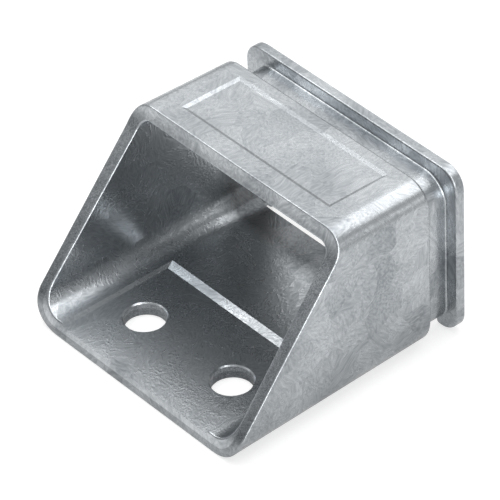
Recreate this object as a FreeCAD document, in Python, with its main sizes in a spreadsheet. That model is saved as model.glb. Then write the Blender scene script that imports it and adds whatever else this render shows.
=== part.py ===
import FreeCAD, Part
import math
import os
import Sketcher

# Galvanised sheet bracket: a rounded rectangular sleeve with a slanted open front, a stepped-in
# neck behind it and an arch-shaped flange at the back. It is one piece of metal.
#
# Frame, in millimetres: the origin is on the underside, midway between the two bolt holes.
# +X runs across the bracket, +Y runs back towards the flange, and +Z is up.

DIMENSIONS = {
    # the sleeve, measured at its back edge
    "body_width": 90.0,
    "body_height": 60.0,
    "floor_length": 75.7,
    "roof_length": 33.3,
    "side_draft": 1.05,
    "roof_draft": 1.3,
    "side_wall": 3.9,
    "roof_wall": 4.9,
    "floor_thickness": 5.9,
    "top_corner": 7.9,
    "bottom_corner": 11.1,
    "inner_top_corner": 3.6,
    "inner_bottom_corner": 7.5,
    "back_edge_round": 0.9,
    # the slanted front
    "lower_lip": 6.9,
    "upper_lip": 5.6,
    "upper_lip_lean": 1.6,
    "lower_blend": 16.0,
    "upper_blend": 22.0,
    # the neck between the sleeve and the flange
    "neck_side_step": 3.75,
    "neck_top_step": 4.9,
    "neck_length": 9.4,
    "neck_corner": 8.1,
    "neck_wall": 2.3,
    "neck_lift": 1.9,
    "floor_tail": 4.7,
    # the flange
    "flange_overhang": 0.65,
    "flange_top_drop": 0.5,
    "flange_lift": 0.5,
    "flange_thickness": 3.5,
    "flange_corner": 6.8,
    "flange_leg": 9.0,
    "flange_bar": 6.9,
    "opening_corner": 5.0,
    "flange_bevel": 0.5,
    "leg_round": 1.2,
    "junction_round": 0.6,
    # the bolt holes
    "hole_diameter": 13.0,
    "hole_spacing": 39.0,
    "hole_setback": 21.0,
    # the pressed fields on the roof and the floor
    "field_width": 64.5,
    "field_length": 22.5,
    "field_setback": 4.3,
    "field_depth": 0.5,
    "field_slope": 1.2,
    "panel_width": 64.4,
    "panel_setback": 35.2,
    "panel_depth": 1.0,
    "panel_side_slope": 1.0,
    "panel_back_slope": 2.6,
    # rounding and bevels left on the sheared edges
    "edge_round": 0.6,
    "hole_bevel": 0.4,
}

# Places and lengths that follow from the driving dimensions
BACK = "(dims.floor_length - dims.hole_setback)"
FRONT = "(-dims.hole_setback)"
CLEAR = "(dims.body_width / 4)"
AHEAD = f"({FRONT} - {CLEAR})"
FLANGE_FRONT = f"({BACK} + dims.neck_length)"
FLANGE_BACK = f"({FLANGE_FRONT} + dims.flange_thickness)"
BEHIND = f"({FLANGE_BACK} + {CLEAR})"
ROOF_FRONT = f"({BACK} - dims.roof_length)"
NECK_START = f"({BACK} - 2 * dims.back_edge_round)"
BODY_HALF = "(dims.body_width / 2)"
NECK_HALF = f"({BODY_HALF} - dims.neck_side_step)"
FLANGE_HALF = f"({BODY_HALF} + dims.flange_overhang)"
NECK_TOP = "(dims.body_height - dims.neck_top_step)"
FLANGE_TOP = "(dims.body_height - dims.flange_top_drop)"
ABOVE = f"(dims.body_height + {CLEAR})"


def half_at(place, inset="0"):
    """Half the sleeve's width at a place along Y, less an inset; the sides spread to the front."""
    return f"({BODY_HALF} - {inset} + ({BACK} - {place}) * tan(dims.side_draft))"


def roof_at(place, inset="0"):
    """The roof's height at a place along Y, less an inset; it rises to the front."""
    return f"(dims.body_height - {inset} + ({BACK} - {place}) * tan(dims.roof_draft))"


def between(place, near, far, near_size, far_size):
    """A size that changes evenly from one place along Y to another, and on past both."""
    return f"({near_size} + ({place} - {near}) * ({far_size} - {near_size}) / ({far} - {near}))"


def hollow_half(place):
    """Half the hollow's width; its sides close in evenly from the front edge to the flange."""
    return between(place, FRONT, FLANGE_FRONT, half_at(FRONT, "dims.side_wall"),
                   f"({NECK_HALF} - dims.neck_wall)")


def hollow_top(place):
    """The hollow's height; its top sinks evenly from the roof's front edge to the flange."""
    return between(place, ROOF_FRONT, FLANGE_FRONT, roof_at(ROOF_FRONT, "dims.roof_wall"),
                   f"({NECK_TOP} - dims.neck_wall)")


def make_sheet(doc):
    """Puts every driving dimension in one named cell of a spreadsheet."""
    sheet = doc.addObject("Spreadsheet::Sheet", "dims")
    for row, (name, size) in enumerate(DIMENSIONS.items(), start=1):
        sheet.set(f"A{row}", name)
        sheet.set(f"B{row}", str(size))
        sheet.setAlias(f"B{row}", name)
    doc.recompute()
    return sheet


def amount(body, expression):
    """The present value of an expression, as a plain number."""
    return float(body.evalExpression(expression))


def origin_plane(body, role):
    for feature in body.Origin.OriginFeatures:
        if feature.Role == role:
            return feature
    raise ValueError(role)


def new_sketch(body, name, role, offset="0"):
    """A sketch on one of the body's own planes, moved along the plane's normal by an expression."""
    sketch = body.newObject("Sketcher::SketchObject", name)
    sketch.AttachmentSupport = [(origin_plane(body, role), "")]
    sketch.MapMode = "FlatFace"
    sketch.AttachmentOffset = FreeCAD.Placement(
        FreeCAD.Vector(0, 0, amount(body, offset)), FreeCAD.Rotation())
    sketch.setExpression("AttachmentOffset.Base.z", offset)
    return sketch


def place_point(body, sketch, geometry, end, corner):
    """Ties a point to the sketch's axes at the distances that two expressions give."""
    for kind, axis, expression in (("DistanceX", -2, corner[0]), ("DistanceY", -1, corner[1])):
        size = amount(body, expression)
        if abs(size) < 1e-9:
            sketch.addConstraint(Sketcher.Constraint("PointOnObject", geometry, end, axis))
        elif size > 0:
            index = sketch.addConstraint(
                Sketcher.Constraint(kind, -1, 1, geometry, end, size))
            sketch.setExpression(f"Constraints[{index}]", expression)
        else:
            index = sketch.addConstraint(
                Sketcher.Constraint(kind, geometry, end, -1, 1, -size))
            sketch.setExpression(f"Constraints[{index}]", f"-{expression}")


def draw_outline(body, sketch, corners):
    """Closed outline of straight lines; each corner is (x, y, radius), with None for a sharp one."""
    points = [FreeCAD.Vector(amount(body, x), amount(body, y), 0) for x, y, radius in corners]
    count = len(corners)
    starts, ends, arcs = [], [], []
    for i, (x, y, radius) in enumerate(corners):
        corner = points[i]
        back = (points[i - 1] - corner).normalize()
        ahead = (points[(i + 1) % count] - corner).normalize()
        if radius is None:
            ends.append(corner)
            starts.append(corner)
            arcs.append(None)
            continue
        size = amount(body, radius)
        half = back.getAngle(ahead) / 2
        reach = size / math.tan(half)
        centre = corner + (back + ahead).normalize() * (size / math.sin(half))
        first, last = corner + back * reach, corner + ahead * reach
        left_turn = back.cross(ahead).z < 0
        if not left_turn:
            first, last = last, first
        low = math.atan2(first.y - centre.y, first.x - centre.x)
        high = math.atan2(last.y - centre.y, last.x - centre.x)
        circle = Part.Circle(centre, FreeCAD.Vector(0, 0, 1), size)
        arcs.append((Part.ArcOfCircle(circle, low, high), left_turn))
        ends.append(corner + back * reach)
        starts.append(corner + ahead * reach)
    lines = [sketch.addGeometry(Part.LineSegment(starts[i], ends[(i + 1) % count]))
             for i in range(count)]
    for i, (x, y, radius) in enumerate(corners):
        before, after = lines[i - 1], lines[i]
        if radius is None:
            sketch.addConstraint(Sketcher.Constraint("Coincident", before, 2, after, 1))
            place_point(body, sketch, after, 1, (x, y))
            continue
        shape, left_turn = arcs[i]
        arc = sketch.addGeometry(shape)
        first, last = (1, 2) if left_turn else (2, 1)
        sketch.addConstraint(Sketcher.Constraint("Tangent", before, 2, arc, first))
        sketch.addConstraint(Sketcher.Constraint("Tangent", after, 1, arc, last))
        index = sketch.addConstraint(Sketcher.Constraint("Radius", arc, amount(body, radius)))
        sketch.setExpression(f"Constraints[{index}]", radius)
        mark = sketch.addGeometry(Part.Point(points[i]), True)
        sketch.addConstraint(Sketcher.Constraint("PointOnObject", mark, 1, before))
        sketch.addConstraint(Sketcher.Constraint("PointOnObject", mark, 1, after))
        place_point(body, sketch, mark, 1, (x, y))


def section(body, name, along, half, low, high, corner):
    """Rounded rectangle across the bracket at a place along Y, the same on both sides."""
    sketch = new_sketch(body, name, "XZ_Plane", f"-{along}")
    draw_outline(body, sketch, [
        (f"(-{half})", low, corner),
        (half, low, corner),
        (half, high, corner),
        (f"(-{half})", high, corner),
    ])
    return sketch


def plan(body, name, level, stations):
    """Outline seen from above: half widths at places along Y, mirrored about the middle."""
    sketch = new_sketch(body, name, "XY_Plane", level)
    right = [(half, place, None) for place, half in stations]
    left = [(f"(-{half})", place, None) for place, half in reversed(stations)]
    draw_outline(body, sketch, right + left)
    return sketch


def extrude(body, kind, name, sketch, length, reverse=False):
    feature = body.newObject(f"PartDesign::{kind}", name)
    feature.Profile = sketch
    feature.Reversed = reverse
    feature.Length = amount(body, length)
    feature.setExpression("Length", length)
    return feature


def cut_across(body, name, corners):
    """Removes the region of a side view from one side of the bracket to the other."""
    sketch = new_sketch(body, f"{name}_profile", "YZ_Plane")
    draw_outline(body, sketch, corners)
    cut = body.newObject("PartDesign::Pocket", name)
    cut.Profile = sketch
    cut.Type = "ThroughAll"
    cut.Midplane = True
    return cut


def dress_edges(body, kind, name, wanted, size):
    """Fillets or chamfers the edges of the body so far that a test picks."""
    body.Document.recompute()
    base = body.Tip
    names = [f"Edge{i}" for i, edge in enumerate(base.Shape.Edges, start=1) if wanted(edge)]
    if not names:
        raise RuntimeError(f"{name}: no edge to dress")
    feature = body.newObject(f"PartDesign::{kind}", name)
    feature.Base = (base, names)
    setting = {"Fillet": "Radius", "Chamfer": "Size"}[kind]
    setattr(feature, setting, amount(body, size))
    feature.setExpression(setting, size)


def round_edges(body, name, wanted, radius):
    dress_edges(body, "Fillet", name, wanted, radius)


def ends(edge):
    return edge.valueAt(edge.FirstParameter), edge.valueAt(edge.LastParameter)


def runs_along(edge):
    """A straight edge that runs mainly front to back."""
    first, last = ends(edge)
    straight = isinstance(edge.Curve, Part.Line)
    return straight and abs(last.y - first.y) > abs(last.x - first.x) + abs(last.z - first.z)


def is_at(edge, along):
    """An edge that lies in a plane across the bracket."""
    return all(abs(point.y - along) < 1e-4 for point in edge.discretize(Number=5))


def round_long_edges(body, name, level, low_radius, high_radius):
    """Rounds the corners of a sleeve-like block: those at its floor level, then those at its roof."""
    height = amount(body, level)
    round_edges(body, f"{name}_bottom",
                lambda e: runs_along(e) and abs(ends(e)[0].z - height) < 1e-4, low_radius)
    round_edges(body, f"{name}_top",
                lambda e: runs_along(e) and ends(e)[0].z > height + amount(body, BODY_HALF) / 2,
                high_radius)


def make_block(body, name, back, half, top, level, corners):
    """Solid block with a flat floor and flat, slightly sloping sides and top, its edges rounded."""
    outline = plan(body, f"{name}_plan", level, [(AHEAD, half(AHEAD)), (back, half(back))])
    extrude(body, "Pad", f"{name}_block", outline, ABOVE)
    over = f"({ABOVE} + {CLEAR})"
    cut_across(body, f"{name}_roof", [
        (AHEAD, top(AHEAD), None),
        (back, top(back), None),
        (back, over, None),
        (AHEAD, over, None),
    ])
    round_long_edges(body, f"{name}_corners", level, *corners)


def make_hollow(doc):
    """The space inside the sleeve and its neck: one tapering block, as a core leaves it."""
    body = doc.addObject("PartDesign::Body", "hollow")
    make_block(body, "hollow", FLANGE_FRONT, hollow_half, hollow_top, "dims.floor_thickness",
               ("dims.inner_bottom_corner", "dims.inner_top_corner"))
    return body


def make_neck_and_flange(body):
    """The neck runs from inside the sleeve to the flange, which is nearly as large as the sleeve."""
    neck = section(body, "neck_outline", NECK_START, NECK_HALF, "dims.neck_lift", NECK_TOP,
                   "dims.neck_corner")
    extrude(body, "Pad", "neck", neck, f"({FLANGE_FRONT} - {NECK_START})", reverse=True)
    outline = section(body, "flange_outline", FLANGE_FRONT, FLANGE_HALF, "dims.flange_lift",
                      FLANGE_TOP, "dims.flange_corner")
    extrude(body, "Pad", "flange", outline, "dims.flange_thickness", reverse=True)


def open_the_sleeve(body, hollow):
    """Takes out the hollow, then the arch between the flange's legs, which also ends the floor."""
    cut = body.newObject("PartDesign::Boolean", "opening")
    cut.setObjects([hollow])
    cut.Type = "Cut"
    sketch = new_sketch(body, "arch_outline", "XZ_Plane", f"-({BACK} + dims.floor_tail)")
    half = f"({FLANGE_HALF} - dims.flange_leg)"
    top = f"({FLANGE_TOP} - dims.flange_bar)"
    draw_outline(body, sketch, [
        (f"(-{half})", f"(-{CLEAR})", None),
        (half, f"(-{CLEAR})", None),
        (half, top, "dims.opening_corner"),
        (f"(-{half})", top, "dims.opening_corner"),
    ])
    extrude(body, "Pocket", "arch", sketch, f"({BEHIND} - {BACK})")
    near, far = amount(body, FLANGE_FRONT), amount(body, FLANGE_BACK)
    inner, lift = amount(body, half), amount(body, "dims.flange_lift")
    beside = amount(body, f"({NECK_HALF} - dims.neck_wall / 2)")
    over = amount(body, f"({NECK_TOP} - dims.neck_wall / 2)")

    def leg_end(edge):
        first, last = ends(edge)
        middle = (first + last) / 2
        low = abs(middle.z - lift) < 1e-4 and abs(abs(middle.x) - inner) < 1e-4
        return low and middle.y > near

    def outer_front(edge):
        """The flange's junction with the neck and the outer edges of its front face."""
        middle = edge.discretize(Number=3)[1]
        return is_at(edge, near) and (abs(middle.x) > beside or middle.z > over)

    round_edges(body, "leg_ends", leg_end, "dims.leg_round")
    round_edges(body, "flange_front", outer_front, "dims.junction_round")
    dress_edges(body, "Chamfer", "flange_back", lambda e: is_at(e, far), "dims.flange_bevel")


def cut_the_front(body):
    """Cuts the front along one profile: upright lips at both ends of a long slant."""
    corner = roof_at(ROOF_FRONT)
    over = f"({ABOVE} + {CLEAR})"
    return cut_across(body, "slanted_front", [
        (f"({AHEAD} - {CLEAR})", f"(-{CLEAR})", None),
        (FRONT, f"(-{CLEAR})", None),
        (FRONT, "dims.lower_lip", "dims.lower_blend"),
        (f"({ROOF_FRONT} - dims.upper_lip_lean)", f"({corner} - dims.upper_lip)",
         "dims.upper_blend"),
        (ROOF_FRONT, corner, None),
        (ROOF_FRONT, over, None),
        (f"({AHEAD} - {CLEAR})", over, None),
    ])


def round_the_cut(body, cut):
    """Rounds both rims of the slanted front: every edge with one side on the cut, one off it."""
    body.Document.recompute()
    profile = cut.Profile[0].Shape
    shape = body.Tip.Shape

    def on_cut(points):
        flat = [Part.Vertex(0, point.y, point.z) for point in points]
        return all(profile.distToShape(point)[0] < 1e-4 for point in flat)

    def in_cut(face):
        return all(on_cut(edge.discretize(Number=4)) for edge in face.Edges)

    def is_rim(edge):
        if not on_cut(edge.discretize(Number=5)):
            return False
        return [in_cut(face) for face in shape.ancestorsOfType(edge, Part.Face)].count(True) == 1

    round_edges(body, "cut_rims", is_rim, "dims.edge_round")


def press_the_fields(body):
    """A shallow field in the roof and a lower panel in the floor, each with sloping sides."""
    mouth = new_sketch(body, "field_outline", "XY_Plane")
    mouth.AttachmentOffset = FreeCAD.Placement(
        FreeCAD.Vector(0, amount(body, BACK), amount(body, "dims.body_height")),
        FreeCAD.Rotation(FreeCAD.Vector(-1, 0, 0), amount(body, "dims.roof_draft")))
    mouth.setExpression("AttachmentOffset.Base.y", BACK)
    mouth.setExpression("AttachmentOffset.Base.z", "dims.body_height")
    mouth.setExpression("AttachmentOffset.Rotation.Angle", "dims.roof_draft")
    half = "(dims.field_width / 2)"
    near = "(-(dims.field_setback + dims.field_length))"
    draw_outline(body, mouth, [
        (f"(-{half})", near, None),
        (half, near, None),
        (half, "(-dims.field_setback)", None),
        (f"(-{half})", "(-dims.field_setback)", None),
    ])
    field = extrude(body, "Pocket", "field", mouth, "dims.field_depth")
    slope = "atan(dims.field_slope / dims.field_depth)"
    field.TaperAngle = -amount(body, slope)
    field.setExpression("TaperAngle", f"-{slope}")

    sides = []
    for name, level, side, back in (
            ("panel_mouth", "dims.floor_thickness", "dims.panel_side_slope",
             f"({BACK} - dims.panel_setback + dims.panel_back_slope)"),
            ("panel_bottom", "(dims.floor_thickness - dims.panel_depth)", "0",
             f"({BACK} - dims.panel_setback)")):
        half = f"(dims.panel_width / 2 + {side})"
        sides.append(plan(body, name, level, [(AHEAD, half), (back, half)]))
    panel = body.newObject("PartDesign::SubtractiveLoft", "panel")
    panel.Profile = sides[0]
    panel.Sections = [sides[1]]
    panel.Ruled = True


def bore_the_holes(body):
    """Two bolt holes through the floor, side by side at the origin, with broken rims."""
    sketch = new_sketch(body, "hole_centres", "XY_Plane")
    radius = amount(body, "dims.hole_diameter / 2")
    for half_spacing in ("(-dims.hole_spacing / 2)", "(dims.hole_spacing / 2)"):
        centre = FreeCAD.Vector(amount(body, half_spacing), 0, 0)
        circle = sketch.addGeometry(Part.Circle(centre, FreeCAD.Vector(0, 0, 1), radius))
        place_point(body, sketch, circle, 3, (half_spacing, "0"))
        width = sketch.addConstraint(Sketcher.Constraint("Diameter", circle, 2 * radius))
        sketch.setExpression(f"Constraints[{width}]", "dims.hole_diameter")
    holes = extrude(body, "Pocket", "holes", sketch, "(3 * dims.floor_thickness)")
    holes.Midplane = True

    def is_rim(edge):
        round_one = isinstance(edge.Curve, Part.Circle) and abs(edge.Curve.Radius - radius) < 1e-4
        return round_one and abs(edge.Curve.Axis.z) > 0.999

    dress_edges(body, "Chamfer", "hole_rims", is_rim, "dims.hole_bevel")


def make_document():
    doc = FreeCAD.newDocument("bracket")
    make_sheet(doc)
    hollow = make_hollow(doc)
    body = doc.addObject("PartDesign::Body", "bracket")
    body.Label = "bracket"
    make_block(body, "sleeve", BACK, half_at, roof_at, "0",
               ("dims.bottom_corner", "dims.top_corner"))
    back = amount(body, BACK)
    round_edges(body, "back_edge", lambda e: is_at(e, back), "dims.back_edge_round")
    make_neck_and_flange(body)
    open_the_sleeve(body, hollow)
    cut = cut_the_front(body)
    round_the_cut(body, cut)
    press_the_fields(body)
    bore_the_holes(body)
    doc.recompute()
    return doc, body


def check(doc):
    """Stops with a plain message if any object or solid of the document failed."""
    for item in doc.Objects:
        if "Invalid" in item.State or "Error" in item.State:
            raise RuntimeError(f"{item.Label}: {item.State}")
        if item.isDerivedFrom("PartDesign::Body"):
            if item.Shape.isNull() or not item.Shape.isValid() or len(item.Shape.Solids) != 1:
                raise RuntimeError(f"{item.Label}: its shape is not one valid solid")


def main():
    doc, body = make_document()
    check(doc)
    os.makedirs("parts", exist_ok=True)
    body.Shape.exportStep(f"parts/{body.Label}.step")
    print(f"{body.Label}: {body.Shape.Volume / 1000:.1f} cm3")


main()
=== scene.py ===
import math

import bpy
from mathutils import Matrix, Vector

# A hot-dip galvanised sleeve bracket on a white studio floor. Lengths are in metres, and the
# frame is the bracket's own: +X along its two bolt holes, +Y back to its flange, +Z up.

MM = 0.001

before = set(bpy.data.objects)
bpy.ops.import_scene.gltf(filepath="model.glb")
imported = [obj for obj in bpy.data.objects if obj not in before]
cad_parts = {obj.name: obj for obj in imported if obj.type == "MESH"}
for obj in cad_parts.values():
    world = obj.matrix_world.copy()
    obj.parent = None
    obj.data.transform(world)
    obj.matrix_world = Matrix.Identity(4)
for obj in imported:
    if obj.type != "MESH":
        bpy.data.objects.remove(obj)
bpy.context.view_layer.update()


def linear(hex_colour):
    """An sRGB hex colour as linear RGBA."""
    parts = [int(hex_colour[i:i + 2], 16) / 255 for i in (0, 2, 4)]
    return [p / 12.92 if p <= 0.04045 else ((p + 0.055) / 1.055) ** 2.4 for p in parts] + [1.0]


def empty_tree(owner):
    owner.use_nodes = True
    owner.node_tree.nodes.clear()
    return owner.node_tree


def add_node(tree, kind, settings=None, links=None):
    """Adds a node. A setting is a property or an input's value, and a link feeds an input from a
    socket or from a node's first output."""
    node = tree.nodes.new(kind)
    for key, value in (settings or {}).items():
        if isinstance(key, str) and hasattr(node, key):
            setattr(node, key, value)
        else:
            node.inputs[key].default_value = value
    for key, source in (links or {}).items():
        socket = source.outputs[0] if isinstance(source, bpy.types.Node) else source
        tree.links.new(socket, node.inputs[key])
    return node


# Sockets of the Mix node for colours
COLOUR_A, COLOUR_B, COLOUR_OUT = 6, 7, 2

# The long slant of the front as a side view sees it: two places on it, along Y and Z. The cut's
# face lies within this reach of the line through them.
SLANT_FOOT_MM = (-21.0, 6.9)
SLANT_TOP_MM = (19.8, 55.16)
CUT_REACH_MM = 1.4

# How far a face has to turn to count as cut: the share of its normal along an axis where it
# begins to count, and the share from which it fully does
CUT_FACES_ASIDE = (0.35, 0.12)
CUT_FACES_UP = (0.35, 0.55)
CUT_FACES_AHEAD = (-0.4, -0.65)
HOLE_FACES_UP = (0.5, 0.2)

# The two bolt holes, with a reach that ends with their rims' bevels
HOLE_SPACING_MM = 39.0
HOLE_REACH_MM = 6.9

# The limits of the hollow run in the middle of the walls' thickness: half its width and its top,
# first in the sleeve and then in the neck, its floor and the round of its corners. The sleeve's
# limits turn into the neck's along Y, just ahead of the neck.
INSIDE_HALF_MM = (43.0, 40.0)
INSIDE_HIGH_MM = (57.5, 54.0)
INSIDE_LOW_MM = 3.0
INSIDE_CORNER_MM = 7.2
NECK_BEGINS_MM, NECK_FULLY_MM = 51.0, 52.5

# Hot-dip galvanised steel: the zinc freezes as patches of feathery crystals, each with its own
# direction, so a satin grey metal looks softly mottled and flickers where a highlight fades
ZINC_LIGHT = "c9cdd0"
ZINC_DARK = "8f9498"

# Tints that multiply the zinc's colour: the cut faces and the holes' walls are sheared steel, the
# hollow's faces take painted shade along Y towards the neck, and the zinc outside takes painted
# shade down to the foot, where the floor that it mirrors lies in shadow
SHEARED = "a4a6a8"
DEEP_SHADE = "a6a6a6"
DEEP_SHADE_FADE_MM = (45.0, 51.0)
FOOT_SHADE = "d2d2d2"
FOOT_SHADE_FADE_MM = (36.0, 4.0)

# The crystal patches, and the feathers in them. A slow noise bends both by up to half the bend.
CRYSTAL_MM = 9.0
BEND_MM = 6.0
BEND_PATTERN_MM = 10.8
FEATHER_LENGTH_MM = 8.0
FEATHER_WIDTH_MM = 0.75

# Slow clouds over the whole, and the surface's fine grain, drawn as coarse as it needs to show
CLOUD_MM = 22.0
GRAIN_MM = 0.35

# The tone is the sum of feathers, clouds and a share of the crystals' own levels. Between these
# two sums it goes from dark and rough zinc to light and smooth.
CRYSTAL_SHARE = 0.30
TONE_DARK, TONE_LIGHT = 0.75, 1.55
ROUGH_DARK, ROUGH_LIGHT = 0.36, 0.22
SHEARED_ROUGHER = 0.15
DEEP_ROUGHER = 0.12

# Sheared steel is speckled: the tint's strength follows the grain from the one to the other
GRAIN_LOW, GRAIN_HIGH = 0.35, 0.65
SPECKLE_LOW, SPECKLE_HIGH = 0.4, 1.0

# The relief of the feathers, which lie thicker and coarser in the hollow, and of the grain
OUTER_RELIEF_MM = 0.04
INNER_RELIEF_MM = 0.065
FEATHER_STRENGTH = 0.8
GRAIN_RELIEF_MM = 0.008
GRAIN_STRENGTH = 0.25


def fade_in(tree, mask, value, fade):
    """The mask, faded in while a value goes from one end of the fade to the other."""
    begins, fully = fade
    amount = add_node(tree, "ShaderNodeMapRange", {"From Min": begins, "From Max": fully},
                      {"Value": value})
    return add_node(tree, "ShaderNodeMath", {"operation": "MULTIPLY"}, {0: mask, 1: amount})


def on_the_slant(tree, place, facing):
    """One on the slanted front's cut face and none elsewhere."""
    run = Vector(SLANT_TOP_MM) - Vector(SLANT_FOOT_MM)
    outward = Vector((0, -run.y, run.x)).normalized()
    line = outward.dot(Vector((0, *SLANT_FOOT_MM)))
    out = add_node(tree, "ShaderNodeVectorMath", {"operation": "DOT_PRODUCT", 1: outward},
                   {0: place})
    away = add_node(tree, "ShaderNodeMath", {"operation": "SUBTRACT", 1: line},
                    {0: out.outputs["Value"]})
    away = add_node(tree, "ShaderNodeMath", {"operation": "ABSOLUTE"}, {0: away})
    near = add_node(tree, "ShaderNodeMath", {"operation": "LESS_THAN", 1: CUT_REACH_MM},
                    {0: away})
    aside = add_node(tree, "ShaderNodeMath", {"operation": "ABSOLUTE"}, {0: facing["X"]})
    slant = fade_in(tree, near, aside, CUT_FACES_ASIDE)
    slant = fade_in(tree, slant, facing["Z"], CUT_FACES_UP)
    return fade_in(tree, slant, facing["Y"], CUT_FACES_AHEAD)


def on_hole_walls(tree, place, facing):
    """One on the bolt holes' walls and none elsewhere."""
    folded = add_node(tree, "ShaderNodeVectorMath", {"operation": "ABSOLUTE"}, {0: place})
    flat = add_node(tree, "ShaderNodeVectorMath", {"operation": "MULTIPLY", 1: (1, 1, 0)},
                    {0: folded})
    away = add_node(tree, "ShaderNodeVectorMath",
                    {"operation": "DISTANCE", 1: (HOLE_SPACING_MM / 2, 0, 0)}, {0: flat})
    near = add_node(tree, "ShaderNodeMath", {"operation": "LESS_THAN", 1: HOLE_REACH_MM},
                    {0: away.outputs["Value"]})
    level = add_node(tree, "ShaderNodeMath", {"operation": "ABSOLUTE"}, {0: facing["Z"]})
    return fade_in(tree, near, level, HOLE_FACES_UP)


def in_the_hollow(tree, coords):
    """One on the sleeve's and the neck's inner faces and none elsewhere."""
    half, high = [add_node(tree, "ShaderNodeMapRange",
                           {"From Min": NECK_BEGINS_MM, "From Max": NECK_FULLY_MM,
                            "To Min": sleeve, "To Max": neck}, {"Value": coords["Y"]})
                  for sleeve, neck in (INSIDE_HALF_MM, INSIDE_HIGH_MM)]
    aside = add_node(tree, "ShaderNodeMath", {"operation": "ABSOLUTE"}, {0: coords["X"]})
    beside = add_node(tree, "ShaderNodeMath", {"operation": "SUBTRACT"}, {0: aside, 1: half})
    above = add_node(tree, "ShaderNodeMath", {"operation": "SUBTRACT"},
                     {0: coords["Z"], 1: high})
    below = add_node(tree, "ShaderNodeMath", {"operation": "SUBTRACT", 0: INSIDE_LOW_MM},
                     {1: coords["Z"]})
    beyond = add_node(tree, "ShaderNodeMath", {"operation": "MAXIMUM"}, {0: above, 1: below})
    past_wall = add_node(tree, "ShaderNodeCombineXYZ", {}, {"X": beside, "Z": beyond})
    past_corner = add_node(tree, "ShaderNodeVectorMath",
                           {"operation": "ADD", 1: (INSIDE_CORNER_MM, 0, INSIDE_CORNER_MM)},
                           {0: past_wall})
    past_corner = add_node(tree, "ShaderNodeVectorMath", {"operation": "MAXIMUM", 1: (0, 0, 0)},
                           {0: past_corner})
    out = add_node(tree, "ShaderNodeVectorMath", {"operation": "LENGTH"}, {0: past_corner})
    return add_node(tree, "ShaderNodeMath", {"operation": "LESS_THAN", 1: INSIDE_CORNER_MM},
                    {0: out.outputs["Value"]})


def crystals_and_feathers(tree, place):
    """The crystals' levels, and the feathers, which run another way in each crystal."""
    bend = add_node(tree, "ShaderNodeTexNoise", {"Scale": 1 / BEND_PATTERN_MM, "Detail": 2.0},
                    {"Vector": place})
    bend = add_node(tree, "ShaderNodeVectorMath",
                    {"operation": "MULTIPLY_ADD", 1: (BEND_MM,) * 3, 2: (-BEND_MM / 2,) * 3},
                    {0: bend.outputs["Color"]})
    bent = add_node(tree, "ShaderNodeVectorMath", {"operation": "ADD"}, {0: place, 1: bend})
    crystal = add_node(tree, "ShaderNodeTexVoronoi", {"Scale": 1 / CRYSTAL_MM}, {"Vector": bent})
    turn = add_node(tree, "ShaderNodeVectorMath", {"operation": "SCALE", "Scale": 2 * math.pi},
                    {0: crystal.outputs["Color"]})
    turned = add_node(tree, "ShaderNodeVectorRotate", {"rotation_type": "EULER_XYZ"},
                      {"Vector": bent, "Rotation": turn})
    narrow = 1 / FEATHER_WIDTH_MM
    stretched = add_node(tree, "ShaderNodeMapping",
                         {"Scale": (1 / FEATHER_LENGTH_MM, narrow, narrow)}, {"Vector": turned})
    feather = add_node(tree, "ShaderNodeTexNoise",
                       {"Scale": 1.0, "Detail": 1.5, "Roughness": 0.5, "Distortion": 0.15},
                       {"Vector": stretched})
    level = add_node(tree, "ShaderNodeSeparateColor", {}, {"Color": crystal.outputs["Color"]})
    return level, feather


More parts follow.
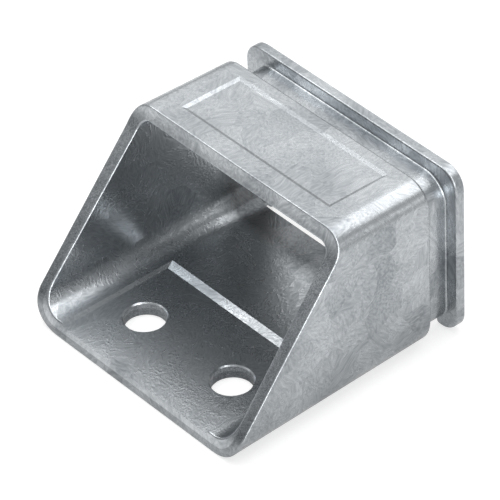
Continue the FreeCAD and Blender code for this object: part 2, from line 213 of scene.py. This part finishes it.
def galvanised_steel():
    material = bpy.data.materials.new("galvanised_steel")
    tree = empty_tree(material)
    surface = add_node(tree, "ShaderNodeTexCoord").outputs
    place = add_node(tree, "ShaderNodeVectorMath", {"operation": "SCALE", "Scale": 1 / MM},
                     {0: surface["Object"]})
    coords = add_node(tree, "ShaderNodeSeparateXYZ", {}, {0: place}).outputs
    facing = add_node(tree, "ShaderNodeSeparateXYZ", {}, {0: surface["Normal"]}).outputs

    # Where the metal differs: cut faces and the hollow; and where shade is painted: deep in the
    # hollow and on the foot outside
    slant = on_the_slant(tree, place, facing)
    hole_walls = on_hole_walls(tree, place, facing)
    cut = add_node(tree, "ShaderNodeMath", {"operation": "MAXIMUM"}, {0: slant, 1: hole_walls})
    inside = in_the_hollow(tree, coords)
    outside = add_node(tree, "ShaderNodeMath", {"operation": "SUBTRACT", 0: 1.0}, {1: inside})
    deep_shade = fade_in(tree, inside, coords["Y"], DEEP_SHADE_FADE_MM)
    # Painted shade on the outside, darker down to the foot, for the shadowed floor that it mirrors
    foot_shade = fade_in(tree, outside, coords["Z"], FOOT_SHADE_FADE_MM)

    # The patterns and the tone that they add up to
    level, feather = crystals_and_feathers(tree, place)
    cloud = add_node(tree, "ShaderNodeTexNoise", {"Scale": 1 / CLOUD_MM, "Detail": 3.0},
                     {"Vector": place})
    grain = add_node(tree, "ShaderNodeTexNoise", {"Scale": 1 / GRAIN_MM, "Detail": 2.0},
                     {"Vector": place})
    strokes = add_node(tree, "ShaderNodeMath", {"operation": "MULTIPLY_ADD", 1: CRYSTAL_SHARE},
                       {0: level, 2: feather})
    total = add_node(tree, "ShaderNodeMath", {"operation": "ADD"}, {0: strokes, 1: cloud})
    tone = add_node(tree, "ShaderNodeMapRange", {"From Min": TONE_DARK, "From Max": TONE_LIGHT},
                    {"Value": total})

    # Colour
    colour = add_node(tree, "ShaderNodeMix", {"data_type": "RGBA", COLOUR_A: linear(ZINC_DARK),
                                              COLOUR_B: linear(ZINC_LIGHT)}, {"Factor": tone})
    speckle = add_node(tree, "ShaderNodeMapRange",
                       {"From Min": GRAIN_LOW, "From Max": GRAIN_HIGH,
                        "To Min": SPECKLE_LOW, "To Max": SPECKLE_HIGH}, {"Value": grain})
    sheared = add_node(tree, "ShaderNodeMath", {"operation": "MULTIPLY"}, {0: cut, 1: speckle})
    # The sheared steel's tint, then painted shade deep in the hollow and painted shade on the foot
    for tint, where in ((SHEARED, sheared), (DEEP_SHADE, deep_shade), (FOOT_SHADE, foot_shade)):
        colour = add_node(tree, "ShaderNodeMix",
                          {"data_type": "RGBA", "blend_type": "MULTIPLY", COLOUR_B: linear(tint)},
                          {"Factor": where, COLOUR_A: colour.outputs[COLOUR_OUT]})

    # Roughness
    roughness = add_node(tree, "ShaderNodeMapRange",
                         {"To Min": ROUGH_DARK, "To Max": ROUGH_LIGHT}, {"Value": tone})
    for rougher, where in ((SHEARED_ROUGHER, cut), (DEEP_ROUGHER, deep_shade)):
        roughness = add_node(tree, "ShaderNodeMath", {"operation": "MULTIPLY_ADD", 1: rougher},
                             {0: where, 2: roughness})

    # Relief
    height = add_node(tree, "ShaderNodeMapRange",
                      {"To Min": OUTER_RELIEF_MM * MM, "To Max": INNER_RELIEF_MM * MM},
                      {"Value": inside})
    ridges = add_node(tree, "ShaderNodeBump", {"Strength": FEATHER_STRENGTH},
                      {"Height": feather, "Distance": height})
    grains = add_node(tree, "ShaderNodeBump",
                      {"Strength": GRAIN_STRENGTH, "Distance": GRAIN_RELIEF_MM * MM},
                      {"Height": grain, "Normal": ridges})

    shader = add_node(tree, "ShaderNodeBsdfPrincipled", {"Metallic": 1.0},
                      {"Base Color": colour.outputs[COLOUR_OUT], "Roughness": roughness,
                       "Normal": grains})
    add_node(tree, "ShaderNodeOutputMaterial", {}, {"Surface": shader})
    return material


def dress_bracket():
    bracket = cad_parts["bracket"]
    steel = galvanised_steel()
    for slot in bracket.material_slots:
        slot.material = steel


# The camera and the lamps look at the bracket from around it. Azimuths run from +X towards +Y.

def axes_from(azimuth, elevation):
    """Right, up and back, for something that looks in from this direction."""
    around, above = math.radians(azimuth), math.radians(elevation)
    right = Vector((-math.sin(around), math.cos(around), 0))
    back = Vector((math.cos(around) * math.cos(above), math.sin(around) * math.cos(above),
                   math.sin(above)))
    return right, back.cross(right), back


def add_looking(name, data, place, right, up, back):
    """An object for a camera or a lamp that stands at a place, with its axes along these."""
    item = bpy.data.objects.new(name, data)
    bpy.context.scene.collection.objects.link(item)
    item.matrix_world = Matrix.Translation(place) @ Matrix((right, up, back)).transposed().to_4x4()
    return item


# Camera: a long lens far away, at the angle that fits the photograph. The middle of the sleeve's
# back, AIM, stands this far right of the picture's middle and above it.
AZIMUTH = -39.354
ELEVATION = 38.900
ROLL = math.radians(-2.502)
DISTANCE = 1305.8 * MM
AIM = Vector((0, 54.7, 29.95)) * MM
AIM_RIGHT = 22.46 * MM
AIM_UP = 14.55 * MM
SENSOR_MM = 36.0
LENS_MM = 320.94


def place_camera():
    level, rise, back = axes_from(AZIMUTH, ELEVATION)
    right = math.cos(ROLL) * level + math.sin(ROLL) * rise
    up = math.cos(ROLL) * rise - math.sin(ROLL) * level
    place = AIM + DISTANCE * back - AIM_RIGHT * right - AIM_UP * up
    camera = add_looking("camera", bpy.data.cameras.new("camera"), place, right, up, back)
    camera.data.sensor_width = SENSOR_MM
    camera.data.lens = LENS_MM
    bpy.context.scene.camera = camera


# Studio: a white floor, a dim sky and softboxes. The floor's paint takes the shadow, and its glow
# adds the rest of its white, one level for the camera and one for what the metal mirrors.
CENTRE = Vector((0, 20, 25)) * MM
REACH = 1200 * MM
FLOOR_SIZE = 6.0
FLOOR_PAINT = "bebebe"
GLOW_SEEN = 0.68
GLOW_MIRRORED = 0.52
WHITE = "ffffff"
SKY_LEVEL = 0.48


def white_floor():
    bpy.ops.mesh.primitive_plane_add(size=FLOOR_SIZE, location=(0, 0, 0))
    floor = bpy.context.object
    floor.name = "floor"
    material = bpy.data.materials.new("white_floor")
    tree = empty_tree(material)
    paint = add_node(tree, "ShaderNodeBsdfDiffuse", {"Color": linear(FLOOR_PAINT)})
    ray = add_node(tree, "ShaderNodeLightPath").outputs
    seen = add_node(tree, "ShaderNodeMath", {"operation": "MULTIPLY", 1: GLOW_SEEN},
                    {0: ray["Is Camera Ray"]})
    mirrored = add_node(tree, "ShaderNodeMath", {"operation": "MAXIMUM"},
                        {0: ray["Is Glossy Ray"], 1: ray["Is Transmission Ray"]})
    mirrored = add_node(tree, "ShaderNodeMath", {"operation": "MULTIPLY", 1: GLOW_MIRRORED},
                        {0: mirrored})
    strength = add_node(tree, "ShaderNodeMath", {"operation": "MAXIMUM"}, {0: seen, 1: mirrored})
    glow = add_node(tree, "ShaderNodeEmission", {"Color": linear(WHITE)}, {"Strength": strength})
    both = add_node(tree, "ShaderNodeAddShader", {}, {0: paint, 1: glow})
    add_node(tree, "ShaderNodeOutputMaterial", {}, {"Surface": both})
    floor.data.materials.append(material)


def studio_sky():
    world = bpy.data.worlds.new("studio_sky")
    bpy.context.scene.world = world
    tree = empty_tree(world)
    sky = add_node(tree, "ShaderNodeBackground", {"Color": linear(WHITE), "Strength": SKY_LEVEL})
    add_node(tree, "ShaderNodeOutputWorld", {}, {"Surface": sky})


def softbox(name, azimuth, elevation, wide, high, radiance, lights_floor=False):
    """A rectangular lamp that fills these angles as the bracket sees it, at this brightness.

    One that doesn't light the floor is a reflector: the metal mirrors it, and the floor's shadow
    stays small.
    """
    lamp = bpy.data.lights.new(name, "AREA")
    lamp.shape = "RECTANGLE"
    lamp.size = 2 * REACH * math.tan(math.radians(wide / 2))
    lamp.size_y = 2 * REACH * math.tan(math.radians(high / 2))
    lamp.energy = radiance * math.pi * lamp.size * lamp.size_y
    right, up, back = axes_from(azimuth, elevation)
    box = add_looking(name, lamp, CENTRE + REACH * back, right, up, back)
    box.visible_diffuse = lights_floor


def light_the_studio():
    softbox("overhead", 0, 90, wide=60, high=60, radiance=1.8, lights_floor=True)

    # Reflectors for the photo's highlights. The roof mirrors the rear bank, and the rounded edge
    # beside it the rear top.
    softbox("rear_top", 80, 51, wide=46, high=18, radiance=1.5)
    softbox("rear_bank", 138, 36, wide=54, high=46, radiance=0.64)
    softbox("left_bank", 214, 47, wide=40, high=24, radiance=2.1)
    softbox("right_wall", 358, 32, wide=26, high=60, radiance=3.2)
    softbox("camera_low", 328, 12, wide=24, high=20, radiance=4.5)
    softbox("rear_right", 37, 18, wide=26, high=12, radiance=0.7)


place_camera()
dress_bracket()
white_floor()
studio_sky()
light_the_studio()
bpy.context.scene.view_settings.view_transform = "Standard"
